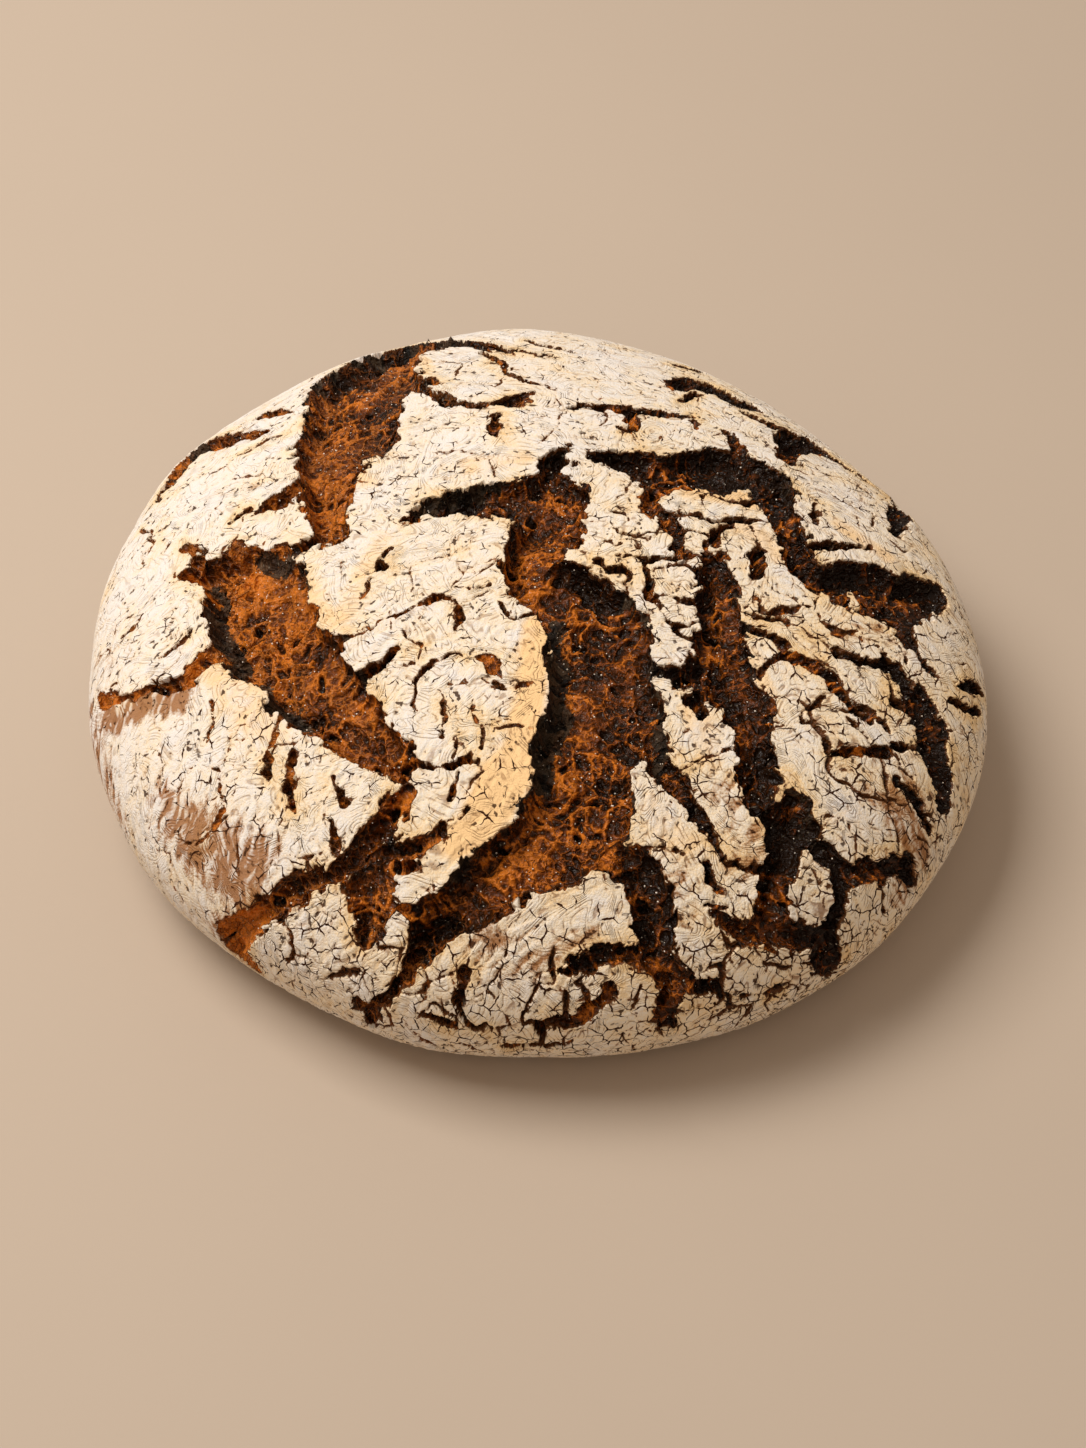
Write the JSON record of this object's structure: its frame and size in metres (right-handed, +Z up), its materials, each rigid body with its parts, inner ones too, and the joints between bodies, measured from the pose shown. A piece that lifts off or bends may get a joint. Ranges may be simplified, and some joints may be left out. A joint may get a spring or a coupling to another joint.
{
  "type": "round rye loaf",
  "caption": "Large round free-baked rye loaf: a low dome on a flat sole, its floury crust split into plates by deep torn cracks that show brown crumb.",
  "frame": {"origin": "centre of the loaf's box, on the plane of its flat sole", "axes": "+Z up from the sole to the crown, +X to the right and +Y away from the side that the picture shows nearest"},
  "size_m": [0.2972, 0.3026, 0.0932],
  "materials": {
    "floury_crust": "matte"
  },
  "bodies": {
    "root": {"loaf": "floury_crust"}
  },
  "joints": []
}
